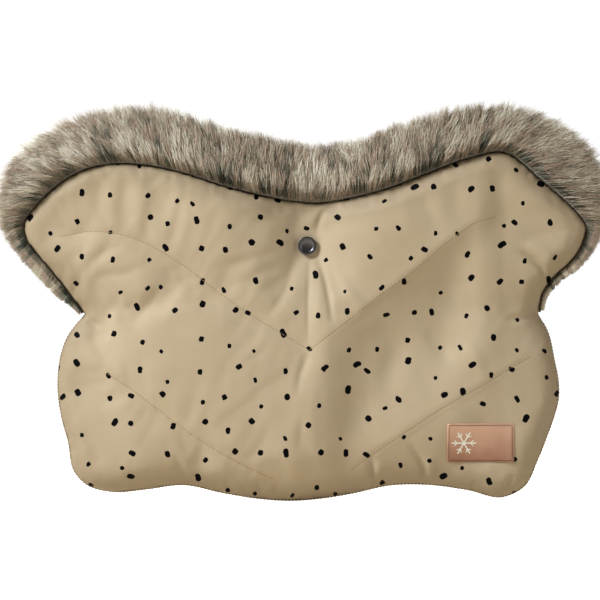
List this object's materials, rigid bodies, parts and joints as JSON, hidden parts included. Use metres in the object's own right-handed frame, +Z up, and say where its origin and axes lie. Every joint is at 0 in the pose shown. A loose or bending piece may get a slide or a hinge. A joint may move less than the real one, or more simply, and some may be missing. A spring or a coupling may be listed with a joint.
{
  "type": "handlebar hand muff",
  "caption": "Padded quilted hand muff with a fur-trimmed open edge, side notches for a handlebar, a press stud that joins its two flaps, and a sewn-on patch.",
  "frame": {"origin": "middle of the flat rest face on the back of the pouch, 60 mm under the waist line", "axes": "+Z up towards the fur trim, +Y out of the back, so the front with the patch faces -Y; +X from the left notch to the right one"},
  "size_m": [0.5393, 0.0658, 0.3549],
  "materials": {
    "printed_nylon": "satin",
    "wadding": "matte",
    "fleece_lining": "matte",
    "fur_pile": "matte",
    "fur_backing": "matte",
    "khaki_thread": "matte",
    "dark_thread": "matte",
    "gunmetal": "satin",
    "spring_steel": "satin",
    "rose_leather": "satin",
    "silver_foil": "satin"
  },
  "bodies": {
    "pouch": {"front_shell_lower": "printed_nylon", "front_wadding_lower": "wadding", "front_lining_lower": "fleece_lining", "back_shell_lower": "printed_nylon", "back_wadding_lower": "wadding", "back_lining_lower": "fleece_lining", "front_quilt_thread_apex": "khaki_thread", "front_quilt_thread_low": "khaki_thread", "edge_seam_thread": "khaki_thread", "label_patch": "rose_leather", "label_emblem": "silver_foil", "label_stitching": "dark_thread"},
    "front_flap": {"front_shell_upper": "printed_nylon", "front_wadding_upper": "wadding", "front_lining_upper": "fleece_lining", "front_fur_backing": "fur_backing", "front_fur_pile": "fur_pile", "front_fur_seam_thread": "khaki_thread", "front_quilt_thread_left": "khaki_thread", "front_quilt_thread_right": "khaki_thread", "snap_cap": "gunmetal", "snap_socket": "gunmetal", "snap_spring": "spring_steel"},
    "back_flap": {"back_shell_upper": "printed_nylon", "back_wadding_upper": "wadding", "back_lining_upper": "fleece_lining", "back_fur_backing": "fur_backing", "back_fur_pile": "fur_pile", "back_fur_seam_thread": "khaki_thread", "snap_stud": "gunmetal", "snap_post": "gunmetal"}
  },
  "joints": [
    {"name": "front_flap_fold", "type": "hinge", "parent": "pouch", "child": "front_flap", "pos_m": [0, -0.0557, 0.06], "axis": [1, 0, 0], "range_deg": [0, 75]},
    {"name": "back_flap_fold", "type": "hinge", "parent": "pouch", "child": "back_flap", "pos_m": [0, 0.0002, 0.06], "axis": [1, 0, 0], "range_deg": [-75, 0]}
  ]
}
